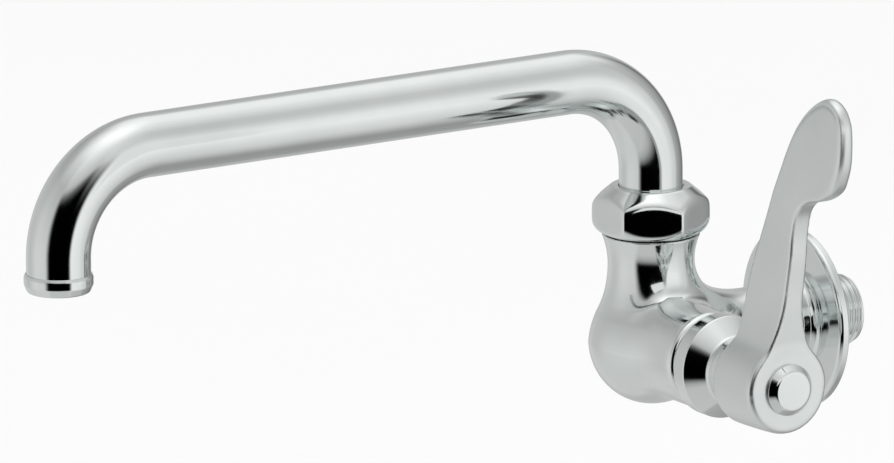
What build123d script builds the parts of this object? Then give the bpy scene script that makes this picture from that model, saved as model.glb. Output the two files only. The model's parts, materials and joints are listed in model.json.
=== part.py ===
from build123d import *
import math
import os

# Commercial wall faucet with a swing spout and a wrist-blade lever.
# Millimetres. The origin is the centre of the wall face on the inlet's axis. +Z is up, +Y points
# into the wall, the spout hangs out along -Y and the valve's level axis runs along +X.

os.makedirs("parts", exist_ok=True)

# Clearances
SEAT_GAP = 0.05        # axial gap between faces that seat on each other
RUN_GAP = 0.08         # radial gap of a turning fit
SLIP_GAP = 0.05        # radial gap of a fixed or screwed fit
SEAL_GAP = 0.02        # gap between a seal and its groove or bore
GROOVE_SLACK = 0.5     # spare width of a seal groove
SLEEVE_GAP = 0.4       # radial gap between the lever's sleeve and the bonnet
HUB_GAP = 0.5          # axial gap between the bonnet and the lever's hub
NUT_GAP = 0.2          # axial gap between the neck's shoulder and the nut

# Edges and seals that several pieces share
EDGE_CUT = 0.8         # bevel on turned edges
O_RING_CORD_R = 0.7

# Where the axes lie
STANDOFF = 53.0        # wall face to the spout's upright axis
SPOUT_REACH = 206.0    # upright axis out to the outlet's axis

# Spout
TUBE_R = 9.525
TUBE_WALL = 1.2
BEND_R = 30.0
RISER = 9.25           # straight stretch above the collar
OUTLET_LEG = 10.0      # straight stretch down to the outlet's lip
COLLAR_THICK = 2.6
TAIL_LENGTH = 19.4     # sleeve below the collar
TAIL_STEP = 0.2        # sleeve's outside past the tube's bore
SPIGOT_LENGTH = 8.0    # tail inside the tube
SPIGOT_WALL = 2.3
LIP_WALL = 0.725       # outlet ring past the tube's outside
LIP_STEP = 0.3         # outlet ring inside the tube's bore
LIP_HEIGHT = 6.0
LIP_ROUND = 0.6
LIP_SEAT = 3.6         # depth of the tube inside the outlet ring

# Cast body
BELLY_R = 18.5
BELLY_DROP = 0.6       # belly centre below the valve axis
WAIST_WALL = 4.0       # wall round the swivel bore at the waist
WAIST_Z = 22.0
FLARE = 10.8           # waist up to the neck's shoulder
FLARE_STEP = 1.7       # shoulder past the neck's thread
NECK_WALL = 4.5        # wall of the threaded neck
NECK_THREAD = 6.6      # length of the threaded neck
NECK_FLOOR = 13.0      # floor of the swivel bore
SHANK_R = 10.67        # half-inch male pipe thread
SHANK_LENGTH = 16.5
SHANK_RELIEF = 0.3     # end of the arm's full size past the wall face
ARM_STEP = 0.33        # arm past the shank's thread
ARM_ROOT_STEP = 3.0    # arm's root past the arm
ARM_ROOT = 12.5        # upright axis to the arm's root
ARM_STRAIGHT = 33.0    # upright axis to where the arm turns straight
WATERWAY_R = 6.2
SEAT_HOLE_R = 4.2
SEAT_X = 9.0           # upright axis to the valve seat
CHAMBER_DEPTH = 12.0
CHAMBER_GAP = 2.4      # water's way round the cartridge
BONNET_THREAD_STEP = 1.8
BOSS_THREAD = 12.5     # thread inside the boss
BOSS_WALL = 2.0
PORT_R = 3.6           # oblique port from the chamber to the neck
PORT_TOP = (2.0, 9.0)  # its top, from the neck's floor up
PORT_FOOT = (4.0, 3.4)  # its foot, past the seat and inside the chamber's wall

# Wall flange
FLANGE_R = 27.2
FLANGE_THICK = 3.2
FLANGE_EDGE = 1.0
FLANGE_COLLAR_WALL = 3.0
FLANGE_COLLAR = 8.5
FLANGE_COLLAR_BLEND = 3.0

# Spout nut, washer and bearing ring
NUT_WALL = 2.4         # flat to the neck's thread
NUT_TOP_WALL = 2.3     # top edge to the tube
NUT_FOOT_CUT = 0.5     # foot inside the flats
NUT_BEVEL = 5.2        # height of the sloped top
NUT_ROUND = 4.8        # height of the rounded foot
NUT_SHOULDER = 3.0     # thickness over the bearing ring
NUT_CORNER_CUT = 0.2   # how far the corners are turned down
COLLAR_CUT = 0.5       # collar inside the neck's thread
WASHER_THICK = 1.0
BEARING_THICK = 1.3

# Bonnet
BONNET_RING_STEP = 2.8
BONNET_RING = 10.0     # length of the grip ring
BONNET_NECK_STEP = 1.1
BONNET_NECK = 11.4     # length of the smooth neck
BONNET_BORE_GAP = 0.2  # radial gap round the housing's neck

# Cartridge
DISC_BORE_R = 7.3
HOUSING_WALL = 1.2
HOUSING_LAND = 3.2     # sealing land behind the flange
HOUSING_FLANGE = 2.95
HOUSING_NECK_WALL = 2.9
HOUSING_NECK = 14.0    # length of the housing's neck
HOUSING_FOOT = 0.7     # gap from the valve seat to the housing
DISC_THICK = 2.8
SEAL_THICK = 2.6
SEAL_HOLE_R = 4.2
DISC_PORT_R = 2.2
DISC_PORT_AT = 4.1     # disc axis to the centre of a port
NOTCH_R = 3.4
NOTCH_AT = 6.4
WINDOW_WIDTH = 7.6
SPINDLE_R = 4.62
SPINDLE_HEAD = 2.7
THRUST_THICK = 0.85
TANG_LENGTH = 9.4
TANG_WIDTH = 2.6
TANG_HEIGHT = 1.3
CLIP_GAP = 0.15        # housing's end to the clip
CLIP_THICK = 0.8
CLIP_GROOVE_DEPTH = 1.02
CLIP_LIP = 1.28        # clip past the spindle
CLIP_MOUTH = 4.4
STEM_PAST = 3.0        # round stem past the housing's end
SPLINE_STEP = 0.62     # spline's crest inside the stem's radius
SPLINE_DEPTH = 0.45
SPLINE_TEETH = 20

# Lever
HUB_R = 14.2
HUB_LENGTH = 19.1
HUB_TAPER = 0.2        # hub's waist inside its rear edge
HUB_SHOULDER = 2.2     # rounded shoulder's length at the front
HUB_SHOULDER_CUT = 0.6
HUB_FACE_CUT = 1.7
SLEEVE_LENGTH = 9.4
SOCKET_DEPTH = 8.6     # spline socket inside the hub
SPLINE_END_GAP = 0.5   # spindle's end to the socket's floor
WEB_THICK = 2.5
SCREW_HOLE_GAP = 0.4
COUNTERBORE_GAP = 1.5  # radial room round the screw's head
BLADE_INSET = 1.6      # circle that the blade's flanks run into, inside the hub
BLADE_HALF_ROOT = 3.4
BLADE_HALF_TIP = 2.3
BLADE_FLANK_Z = 30.0   # height where the flanks leave the flare
BLADE_TOP = 92.8
BLADE_START = 0.3      # blade inside the hub's rear face
BLADE_END = 0.5        # blade inside the hub's front face

# Blade seen from the side: distance past the hub's rear face, and height over the valve axis
BLADE_REAR = ((3.2, 35), (7.6, 44.5), (12.0, 54), (15.6, 62.5), (19.4, 71), (24.8, 80), (30.8, 86.6))
BLADE_REAR_FOOT_Z = 25.0
BLADE_REAR_TOP = (37.6, 91.2)
BLADE_TIP = (47.6, 90.2)
BLADE_RIM = ((50.7, 81.5), (49.2, 71.0))
BLADE_CORNER = ((46.0, 65.2), (39.6, 61.4))
# Blade's front edge: distance past the hub's front face, and height
BLADE_FRONT = ((12.5, 58.4), (7.1, 54.2), (4.9, 47.5), (4.3, 40), (2.7, 28), (1.3, 18))
BLADE_FRONT_FOOT_Z = 8.0

# Lever screw, lock washer and cap
SCREW_R = 2.0
SCREW_REACH = 17.0     # thread inside the spindle
SCREW_SPARE = 1.0      # tapped hole past the screw's end
SCREW_HEAD_R = 4.1
SCREW_HEAD = 3.1
SCREW_SLOT_LENGTH = 5.4
SCREW_SLOT_WIDTH = 1.0
SCREW_SLOT_DEPTH = 1.2
LOCK_WASHER_THICK = 0.9
LOCK_WASHER_MOUTH = 1.0
CAP_LIP = 2.15         # cap past the counterbore
CAP_SLOPE = 1.45       # face inside the cap's rim
CAP_BASE = 1.5
CAP_HEIGHT = 2.9
CAP_SKIRT = 3.4
CAP_WALL = 0.8

# Radii that follow from the tube
TUBE_BORE_R = TUBE_R - TUBE_WALL
TAIL_BORE_R = TUBE_BORE_R - SPIGOT_WALL
TAIL_R = TUBE_BORE_R + TAIL_STEP
NECK_BORE_R = TAIL_R + RUN_GAP
NECK_THREAD_R = NECK_BORE_R + NECK_WALL
WAIST_R = NECK_BORE_R + WAIST_WALL
FLARE_R = NECK_THREAD_R + FLARE_STEP
COLLAR_R = NECK_THREAD_R - COLLAR_CUT
NUT_FLATS = 2 * (NECK_THREAD_R + NUT_WALL)
ARM_R = SHANK_R + ARM_STEP
ARM_ROOT_R = ARM_R + ARM_ROOT_STEP

# Heights from the valve axis up
FLARE_Z = WAIST_Z + FLARE
NUT_BOTTOM = FLARE_Z + NUT_GAP
NECK_TOP = FLARE_Z + NECK_THREAD
WASHER_TOP = NECK_TOP + WASHER_THICK
COLLAR_BOTTOM = WASHER_TOP + SEAT_GAP
COLLAR_TOP = COLLAR_BOTTOM + COLLAR_THICK
NUT_CEILING = COLLAR_TOP + SEAT_GAP + BEARING_THICK
NUT_TOP = NUT_CEILING + NUT_SHOULDER
SPOUT_RISE = COLLAR_TOP + RISER + BEND_R
LIP_Z = SPOUT_RISE - BEND_R - OUTLET_LEG
TAIL_BOTTOM = COLLAR_BOTTOM - TAIL_LENGTH

# Radii round the valve axis
HOUSING_R = DISC_BORE_R + HOUSING_WALL
CHAMBER_R = HOUSING_R + CHAMBER_GAP
BONNET_THREAD_R = CHAMBER_R + BONNET_THREAD_STEP
BOSS_R = BONNET_THREAD_R + BOSS_WALL
BONNET_RING_R = BONNET_THREAD_R + BONNET_RING_STEP
BONNET_NECK_R = BONNET_THREAD_R + BONNET_NECK_STEP
SPINDLE_BORE_R = SPINDLE_R + RUN_GAP
HOUSING_NECK_R = SPINDLE_BORE_R + HOUSING_NECK_WALL
BONNET_BORE_R = HOUSING_NECK_R + BONNET_BORE_GAP
SLEEVE_R = BONNET_BORE_R - SLEEVE_GAP
SPLINE_R = SPINDLE_R - SPLINE_STEP
COUNTERBORE_R = SCREW_HEAD_R + COUNTERBORE_GAP

# Places along the valve axis, from the seat out to the lever
CHAMBER_END = SEAT_X + CHAMBER_DEPTH
BOSS_END = CHAMBER_END + BOSS_THREAD
SEAL_END = SEAT_X + SEAL_THICK
FIXED_END = SEAL_END + DISC_THICK
MOVING_START = FIXED_END + SEAT_GAP
MOVING_END = MOVING_START + DISC_THICK
HEAD_START = MOVING_END + SEAT_GAP
HEAD_END = HEAD_START + SPINDLE_HEAD
THRUST_START = HEAD_END + SEAT_GAP
THRUST_END = THRUST_START + THRUST_THICK
HOUSING_SHOULDER = THRUST_END + SEAT_GAP
FLANGE_START = CHAMBER_END + SEAT_GAP
HOUSING_FLANGE_END = FLANGE_START + HOUSING_FLANGE
HOUSING_END = HOUSING_FLANGE_END + HOUSING_NECK
BONNET_RING_END = BOSS_END + BONNET_RING
BONNET_END = BONNET_RING_END + BONNET_NECK
CLIP_START = HOUSING_END + CLIP_GAP
SPLINE_START = HOUSING_END + STEM_PAST
HUB_START = BONNET_END + HUB_GAP
HUB_FACE = HUB_START + HUB_LENGTH
SLEEVE_START = HUB_START - SLEEVE_LENGTH
SOCKET_END = HUB_START + SOCKET_DEPTH
SPLINE_END = SOCKET_END - SPLINE_END_GAP
WEB_END = SOCKET_END + WEB_THICK

UPRIGHT = Plane.XZ.offset(STANDOFF)
SPOUT_AXIS = Axis((0, -STANDOFF, 0), (0, 0, 1))
VALVE_AXIS = Axis((0, -STANDOFF, 0), (1, 0, 0))


def across_valve(x):
    """A plane square to the valve axis, with Y across it and Z up."""
    return Plane(origin=(x, -STANDOFF, 0), x_dir=(0, 1, 0), z_dir=(1, 0, 0))


def across_spout(z):
    """A level plane on the spout's upright axis."""
    return Plane(origin=(0, -STANDOFF, z), x_dir=(1, 0, 0), z_dir=(0, 0, 1))


def outline(points, plane=UPRIGHT):
    """A closed outline of straight sides, as a face."""
    with BuildSketch(plane) as shape:
        with BuildLine():
            Polyline(*points, close=True)
        make_face()
    return shape.sketch


def band(x0, x1, r0, r1):
    """Half section of a ring round the valve axis, from x0 to x1."""
    return outline([(x0, r0), (x1, r0), (x1, r1), (x0, r1)])


def hoop(z0, z1, r0, r1):
    """Half section of a ring round the spout's axis, from z0 to z1."""
    return outline([(r0, z0), (r1, z0), (r1, z1), (r0, z1)])


def groove_floor(bore_r):
    """Radius of a seal groove's floor, for a seal that runs in a bore."""
    return bore_r - 2 * O_RING_CORD_R - 2 * SEAL_GAP


def groove_starts(start, end):
    """Where two seal grooves start, spaced evenly between two places."""
    gap = (end - start - 2 * GROOVE_WIDTH) / 3
    return (start + gap, start + 2 * gap + GROOVE_WIDTH)


GROOVE_WIDTH = 2 * O_RING_CORD_R + GROOVE_SLACK
SPINDLE_GROOVES = groove_starts(HOUSING_SHOULDER, HOUSING_END)
TAIL_GROOVES = groove_starts(TAIL_BOTTOM, COLLAR_BOTTOM)

# ---------------------------------------------------------------- fixed to the wall

# Body: round belly and neck, side boss, rear arm with threaded shank, and the waterways inside.
waist_rise = WAIST_Z + BELLY_DROP
blend_r = (WAIST_R**2 + waist_rise**2 - BELLY_R**2) / (2 * (BELLY_R - WAIST_R))
blend_angle = math.atan2(waist_rise, WAIST_R + blend_r)
belly_top = (BELLY_R * math.cos(blend_angle), BELLY_R * math.sin(blend_angle) - BELLY_DROP)

with BuildPart() as valve_body:
    with BuildSketch(UPRIGHT):
        with BuildLine():
            belly = ThreePointArc((0, -BELLY_DROP - BELLY_R), (BELLY_R, -BELLY_DROP), belly_top)
            waist = TangentArc(belly @ 1, (WAIST_R, WAIST_Z), tangent=belly % 1)
            flare = TangentArc(waist @ 1, (FLARE_R, FLARE_Z), tangent=(0, 1))
            Polyline(
                flare @ 1,
                (NECK_THREAD_R, FLARE_Z),
                (NECK_THREAD_R, NECK_TOP),
                (0, NECK_TOP),
                (0, -BELLY_DROP - BELLY_R),
            )
        make_face()
    revolve(axis=SPOUT_AXIS)
    with BuildSketch(Plane.YZ):
        with BuildLine():
            root = (ARM_ROOT - STANDOFF, ARM_ROOT_R)
            sweep_in = TangentArc((ARM_STRAIGHT - STANDOFF, ARM_R), root, tangent=(-1, 0))
            Polyline(
                sweep_in @ 1,
                (-STANDOFF, ARM_ROOT_R),
                (-STANDOFF, 0),
                (SHANK_LENGTH, 0),
                (SHANK_LENGTH, SHANK_R - EDGE_CUT),
                (SHANK_LENGTH - EDGE_CUT, SHANK_R),
                (SHANK_RELIEF, SHANK_R),
                (SHANK_RELIEF, ARM_R),
                sweep_in @ 0,
            )
        make_face()
    revolve(axis=Axis.Y)
    revolve(band(0, BOSS_END, 0, BOSS_R), axis=VALVE_AXIS)
    # swivel bore
    revolve(hoop(NECK_FLOOR, NECK_TOP, 0, NECK_BORE_R), axis=SPOUT_AXIS, mode=Mode.SUBTRACT)
    # seat hole, chamber and bonnet thread
    revolve(band(0, SEAT_X, 0, SEAT_HOLE_R), axis=VALVE_AXIS, mode=Mode.SUBTRACT)
    revolve(band(SEAT_X, CHAMBER_END, 0, CHAMBER_R), axis=VALVE_AXIS, mode=Mode.SUBTRACT)
    revolve(band(CHAMBER_END, BOSS_END, 0, BONNET_THREAD_R), axis=VALVE_AXIS, mode=Mode.SUBTRACT)
    # inlet waterway
    with BuildSketch(Plane.XZ.offset(-SHANK_LENGTH)):
        Circle(WATERWAY_R)
    extrude(amount=SHANK_LENGTH + STANDOFF + WATERWAY_R, mode=Mode.SUBTRACT)
    # oblique port from the chamber up to the neck
    port_top = Vector(PORT_TOP[0], -STANDOFF, NECK_FLOOR + PORT_TOP[1])
    port_foot = Vector(SEAT_X + PORT_FOOT[0], -STANDOFF, CHAMBER_R - PORT_FOOT[1])
    with BuildSketch(Plane(origin=port_top, z_dir=port_foot - port_top)):
        Circle(PORT_R)
    extrude(amount=(port_foot - port_top).length, mode=Mode.SUBTRACT)

# Flange: flat disc with a rounded rim and a short collar round the arm.
with BuildPart() as wall_flange:
    collar_r = ARM_R + FLANGE_COLLAR_WALL
    with BuildSketch(Plane.YZ):
        with BuildLine():
            Polyline(
                (0, ARM_R + SLIP_GAP),
                (0, FLANGE_R),
                (-FLANGE_THICK + FLANGE_EDGE, FLANGE_R),
                (-FLANGE_THICK, FLANGE_R - FLANGE_EDGE),
                (-FLANGE_THICK, collar_r + FLANGE_COLLAR_BLEND),
            )
            TangentArc(
                (-FLANGE_THICK, collar_r + FLANGE_COLLAR_BLEND),
                (-FLANGE_THICK - FLANGE_COLLAR_BLEND, collar_r),
                tangent=(0, -1),
            )
            Polyline(
                (-FLANGE_THICK - FLANGE_COLLAR_BLEND, collar_r),
                (-FLANGE_COLLAR + FLANGE_EDGE, collar_r),
                (-FLANGE_COLLAR, collar_r - FLANGE_EDGE),
                (-FLANGE_COLLAR, ARM_R + SLIP_GAP),
                (0, ARM_R + SLIP_GAP),
            )
        make_face()
    revolve(axis=Axis.Y)

# Nut: hexagon with a sloped top and a rounded foot, bored for the neck's thread and the tube.
with BuildPart() as spout_nut:
    with BuildSketch(across_spout(NUT_BOTTOM)):
        RegularPolygon(radius=NUT_FLATS / 2, side_count=6, major_radius=False)
    extrude(amount=NUT_TOP - NUT_BOTTOM)
    nut_corner_r = NUT_FLATS / math.sqrt(3) - NUT_CORNER_CUT
    with BuildSketch(UPRIGHT):
        with BuildLine():
            foot = TangentArc(
                (nut_corner_r, NUT_BOTTOM + NUT_ROUND),
                (NUT_FLATS / 2 - NUT_FOOT_CUT, NUT_BOTTOM),
                tangent=(0, -1),
            )
            Polyline(
                foot @ 1,
                (0, NUT_BOTTOM),
                (0, NUT_TOP),
                (TUBE_R + NUT_TOP_WALL, NUT_TOP),
                (nut_corner_r, NUT_TOP - NUT_BEVEL),
                foot @ 0,
            )
        make_face()
    revolve(axis=SPOUT_AXIS, mode=Mode.INTERSECT)
    thread_r = NECK_THREAD_R + SLIP_GAP
    tube_hole_r = TUBE_R + RUN_GAP + SLIP_GAP
    revolve(hoop(NUT_BOTTOM, NUT_CEILING, 0, thread_r), axis=SPOUT_AXIS, mode=Mode.SUBTRACT)
    revolve(hoop(NUT_CEILING, NUT_TOP, 0, tube_hole_r), axis=SPOUT_AXIS, mode=Mode.SUBTRACT)

with BuildPart() as neck_washer:
    revolve(hoop(NECK_TOP, WASHER_TOP, NECK_BORE_R, COLLAR_R), axis=SPOUT_AXIS)

with BuildPart() as nut_bearing_ring:
    ring_bottom = COLLAR_TOP + SEAT_GAP
    revolve(hoop(ring_bottom, NUT_CEILING, TUBE_R + RUN_GAP, COLLAR_R), axis=SPOUT_AXIS)

# Bonnet: threaded end in the boss, grip ring, and a smooth neck towards the lever.
with BuildPart() as bonnet:
    bonnet_thread_r = BONNET_THREAD_R - SLIP_GAP
    bonnet_outline = [
        (HOUSING_FLANGE_END + SEAT_GAP, BONNET_BORE_R),
        (HOUSING_FLANGE_END + SEAT_GAP, bonnet_thread_r),
        (BOSS_END, bonnet_thread_r),
        (BOSS_END, BONNET_RING_R - EDGE_CUT),
        (BOSS_END + EDGE_CUT, BONNET_RING_R),
        (BONNET_RING_END - EDGE_CUT, BONNET_RING_R),
        (BONNET_RING_END, BONNET_RING_R - EDGE_CUT),
        (BONNET_RING_END, BONNET_NECK_R),
        (BONNET_END - EDGE_CUT, BONNET_NECK_R),
        (BONNET_END, BONNET_NECK_R - EDGE_CUT),
        (BONNET_END, BONNET_BORE_R),
    ]
    revolve(outline(bonnet_outline), axis=VALVE_AXIS)

# Cartridge housing: windowed barrel, sealing land, flange, and the neck that carries the spindle.
with BuildPart() as cartridge_housing:
    land_start = CHAMBER_END - HOUSING_LAND
    housing_outline = [
        (SEAT_X + HOUSING_FOOT, DISC_BORE_R),
        (SEAT_X + HOUSING_FOOT, HOUSING_R),
        (land_start, HOUSING_R),
        (land_start, CHAMBER_R - SLIP_GAP),
        (FLANGE_START, CHAMBER_R - SLIP_GAP),
        (FLANGE_START, BONNET_THREAD_R - 2 * SLIP_GAP),
        (HOUSING_FLANGE_END, BONNET_THREAD_R - 2 * SLIP_GAP),
        (HOUSING_FLANGE_END, HOUSING_NECK_R),
        (HOUSING_END, HOUSING_NECK_R),
        (HOUSING_END, SPINDLE_BORE_R),
        (HOUSING_SHOULDER, SPINDLE_BORE_R),
        (HOUSING_SHOULDER, DISC_BORE_R),
    ]
    revolve(outline(housing_outline), axis=VALVE_AXIS)
    housing_groove = (land_start + CHAMBER_END - GROOVE_WIDTH) / 2
    groove = band(housing_groove, housing_groove + GROOVE_WIDTH, groove_floor(CHAMBER_R), CHAMBER_R)
    revolve(groove, axis=VALVE_AXIS, mode=Mode.SUBTRACT)
    # two windows beside the turning disc let the water out
    with BuildSketch(across_valve(MOVING_START)):
        Rectangle(2 * CHAMBER_R, WINDOW_WIDTH)
    extrude(amount=DISC_THICK, mode=Mode.SUBTRACT)

with BuildPart() as housing_o_ring:
    ring_centre = (housing_groove + GROOVE_WIDTH / 2, CHAMBER_R - SEAL_GAP - O_RING_CORD_R)
    with BuildSketch(UPRIGHT):
        with Locations(ring_centre):
            Circle(O_RING_CORD_R)
    revolve(axis=VALVE_AXIS)

with BuildPart() as seat_seal:
    revolve(band(SEAT_X, SEAL_END, SEAL_HOLE_R, DISC_BORE_R - SLIP_GAP), axis=VALVE_AXIS)

# Fixed disc: two ports side by side.
with BuildPart() as fixed_disc:
    with BuildSketch(across_valve(SEAL_END)):
        Circle(DISC_BORE_R - SLIP_GAP)
        with Locations((-DISC_PORT_AT, 0), (DISC_PORT_AT, 0)):
            Circle(DISC_PORT_R, mode=Mode.SUBTRACT)
    extrude(amount=DISC_THICK)

# ---------------------------------------------------------------- turns with the lever

# Moving disc: notches above and below, and a slot across its face for the spindle's tang.
with BuildPart() as moving_disc:
    with BuildSketch(across_valve(MOVING_START)):
        Circle(DISC_BORE_R - RUN_GAP)
        with Locations((0, -NOTCH_AT), (0, NOTCH_AT)):
            Circle(NOTCH_R, mode=Mode.SUBTRACT)
    extrude(amount=DISC_THICK)
    with BuildSketch(across_valve(MOVING_END)):
        Rectangle(TANG_LENGTH + 2 * SLIP_GAP, TANG_WIDTH + 2 * SLIP_GAP)
    extrude(amount=-TANG_HEIGHT - SLIP_GAP, mode=Mode.SUBTRACT)

# Spindle: drive tang, head, stem with two seal grooves and a clip groove, splined end.
with BuildPart() as spindle:
    with BuildSketch(across_valve(HEAD_START)):
        Rectangle(TANG_LENGTH, TANG_WIDTH)
    extrude(amount=-TANG_HEIGHT)
    stem_outline = [
        (HEAD_START, 0),
        (HEAD_START, DISC_BORE_R - RUN_GAP),
        (HEAD_END, DISC_BORE_R - RUN_GAP),
        (HEAD_END, SPINDLE_R),
        (SPLINE_START, SPINDLE_R),
        (SPLINE_START, 0),
    ]
    revolve(outline(stem_outline), axis=VALVE_AXIS)
    for start in SPINDLE_GROOVES:
        cut = band(start, start + GROOVE_WIDTH, groove_floor(SPINDLE_BORE_R), SPINDLE_R)
        revolve(cut, axis=VALVE_AXIS, mode=Mode.SUBTRACT)
    clip_groove_r = SPINDLE_R - CLIP_GROOVE_DEPTH
    clip_cut = band(
        CLIP_START - SEAT_GAP, CLIP_START + CLIP_THICK + SEAT_GAP, clip_groove_r, SPINDLE_R
    )
    revolve(clip_cut, axis=VALVE_AXIS, mode=Mode.SUBTRACT)
    with BuildSketch(across_valve(SPLINE_START)):
        Circle(SPLINE_R - SPLINE_DEPTH)
        with PolarLocations(SPLINE_R - SPLINE_DEPTH, SPLINE_TEETH):
            Rectangle(2 * SPLINE_DEPTH, SPLINE_DEPTH)
    extrude(amount=SPLINE_END - SPLINE_START)
    with BuildSketch(across_valve(SPLINE_END)):
        Circle(SCREW_R + SLIP_GAP)
    extrude(amount=-SCREW_REACH - SCREW_SPARE, mode=Mode.SUBTRACT)


def spindle_o_ring(start):
    """A seal in the spindle's groove that starts at a place along the valve axis."""
    with BuildSketch(UPRIGHT) as section:
        with Locations((start + GROOVE_WIDTH / 2, SPINDLE_BORE_R - SEAL_GAP - O_RING_CORD_R)):
            Circle(O_RING_CORD_R)
    return section.sketch


with BuildPart() as spindle_o_ring_inner:
    revolve(spindle_o_ring(SPINDLE_GROOVES[0]), axis=VALVE_AXIS)

with BuildPart() as spindle_o_ring_outer:
    revolve(spindle_o_ring(SPINDLE_GROOVES[1]), axis=VALVE_AXIS)

with BuildPart() as thrust_washer:
    washer_r = DISC_BORE_R - RUN_GAP
    revolve(band(THRUST_START, THRUST_END, SPINDLE_R + SLIP_GAP, washer_r), axis=VALVE_AXIS)

with BuildPart() as spindle_clip:
    clip_r = SPINDLE_R + CLIP_LIP
    with BuildSketch(across_valve(CLIP_START)):
        Circle(clip_r)
        Circle(clip_groove_r + SEAL_GAP, mode=Mode.SUBTRACT)
        with Locations((0, -clip_r)):
            Rectangle(CLIP_MOUTH, 2 * clip_r, mode=Mode.SUBTRACT)
    extrude(amount=CLIP_THICK)

# Lever: turned hub with a rear sleeve, and a blade that flares out of it and ends in a paddle.
# The blade is the part common to its side outline and its teardrop front outline.
blade_root_r = HUB_R - BLADE_INSET
flank_r = (BLADE_HALF_ROOT**2 + BLADE_FLANK_Z**2 - blade_root_r**2) / (
    2 * (blade_root_r - BLADE_HALF_ROOT)
)
flank_angle = math.atan2(BLADE_FLANK_Z, BLADE_HALF_ROOT + flank_r)
flank_foot = (blade_root_r * math.cos(flank_angle), blade_root_r * math.sin(flank_angle))
blade_side = Plane(origin=(HUB_START, -STANDOFF, 0), x_dir=(1, 0, 0), z_dir=(0, -1, 0))

with BuildPart() as blade:
    with BuildSketch(blade_side):
        with BuildLine():
            rear = Spline(
                (BLADE_START, BLADE_REAR_FOOT_Z),
                *BLADE_REAR,
                BLADE_REAR_TOP,
                tangents=((0, 1), (3, 1)),
            )
            tip = TangentArc(rear @ 1, BLADE_TIP, tangent=rear % 1)
            rim = ThreePointArc(BLADE_TIP, *BLADE_RIM)
            corner = ThreePointArc(BLADE_RIM[1], *BLADE_CORNER)
            front = Spline(
                BLADE_CORNER[1],
                *[(HUB_LENGTH + x, z) for x, z in BLADE_FRONT],
                (HUB_LENGTH - BLADE_END, BLADE_FRONT_FOOT_Z),
            )
            Polyline(front @ 1, (HUB_LENGTH - BLADE_END, 0), (BLADE_START, 0), rear @ 0)
        make_face()
    extrude(amount=HUB_R, both=True)
    with BuildSketch(across_valve(HUB_START)):
        with BuildLine():
            right = TangentArc((BLADE_HALF_ROOT, BLADE_FLANK_Z), flank_foot, tangent=(0, -1))
            Polyline(
                right @ 0,
                (BLADE_HALF_TIP, BLADE_TOP),
                (-BLADE_HALF_TIP, BLADE_TOP),
                (-BLADE_HALF_ROOT, BLADE_FLANK_Z),
            )
            left = TangentArc(
                (-BLADE_HALF_ROOT, BLADE_FLANK_Z), (-flank_foot[0], flank_foot[1]), tangent=(0, -1)
            )
            Polyline(left @ 1, (-flank_foot[0], 0), (flank_foot[0], 0), right @ 1)
        make_face()
    extrude(amount=BLADE_RIM[0][0] + EDGE_CUT, mode=Mode.INTERSECT)

with BuildPart() as lever_handle:
    hub_outline = [
        (SLEEVE_START, 0),
        (SLEEVE_START, SLEEVE_R),
        (HUB_START, SLEEVE_R),
        (HUB_START, HUB_R - EDGE_CUT),
        (HUB_START + EDGE_CUT, HUB_R),
        ((HUB_START + HUB_FACE) / 2, HUB_R - HUB_TAPER),
        (HUB_FACE - HUB_SHOULDER, HUB_R - HUB_SHOULDER_CUT),
        (HUB_FACE, HUB_R - HUB_FACE_CUT),
        (HUB_FACE, 0),
    ]
    revolve(outline(hub_outline), axis=VALVE_AXIS)
    add(blade.part)
    # spline socket, screw hole and counterbore
    with BuildSketch(across_valve(SLEEVE_START)):
        Circle(SPLINE_R - SPLINE_DEPTH + SLIP_GAP)
        with PolarLocations(SPLINE_R - SPLINE_DEPTH, SPLINE_TEETH):
            Rectangle(2 * (SPLINE_DEPTH + SLIP_GAP), SPLINE_DEPTH + 2 * SLIP_GAP)
    extrude(amount=SOCKET_END - SLEEVE_START, mode=Mode.SUBTRACT)
    screw_hole_r = SCREW_R + SCREW_HOLE_GAP
    revolve(band(SOCKET_END, WEB_END, 0, screw_hole_r), axis=VALVE_AXIS, mode=Mode.SUBTRACT)
    revolve(band(WEB_END, HUB_FACE, 0, COUNTERBORE_R), axis=VALVE_AXIS, mode=Mode.SUBTRACT)

with BuildPart() as lock_washer:
    with BuildSketch(across_valve(WEB_END)):
        Circle(SCREW_HEAD_R)
        Circle(SCREW_R + SLIP_GAP, mode=Mode.SUBTRACT)
        with Locations((0, SCREW_HEAD_R)):
            Rectangle(LOCK_WASHER_MOUTH, 2 * SCREW_HEAD_R, mode=Mode.SUBTRACT)
    extrude(amount=LOCK_WASHER_THICK)

with BuildPart() as handle_screw:
    head_start = WEB_END + LOCK_WASHER_THICK
    screw_start = SPLINE_END - SCREW_REACH
    screw_outline = [
        (screw_start, 0),
        (screw_start, SCREW_R),
        (head_start, SCREW_R),
        (head_start, SCREW_HEAD_R),
        (head_start + SCREW_HEAD, SCREW_HEAD_R - EDGE_CUT),
        (head_start + SCREW_HEAD, 0),
    ]
    revolve(outline(screw_outline), axis=VALVE_AXIS)
    for turn in (0, 90):
        with BuildSketch(across_valve(head_start + SCREW_HEAD)):
            Rectangle(SCREW_SLOT_LENGTH, SCREW_SLOT_WIDTH, rotation=turn)
        extrude(amount=-SCREW_SLOT_DEPTH, mode=Mode.SUBTRACT)

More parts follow.
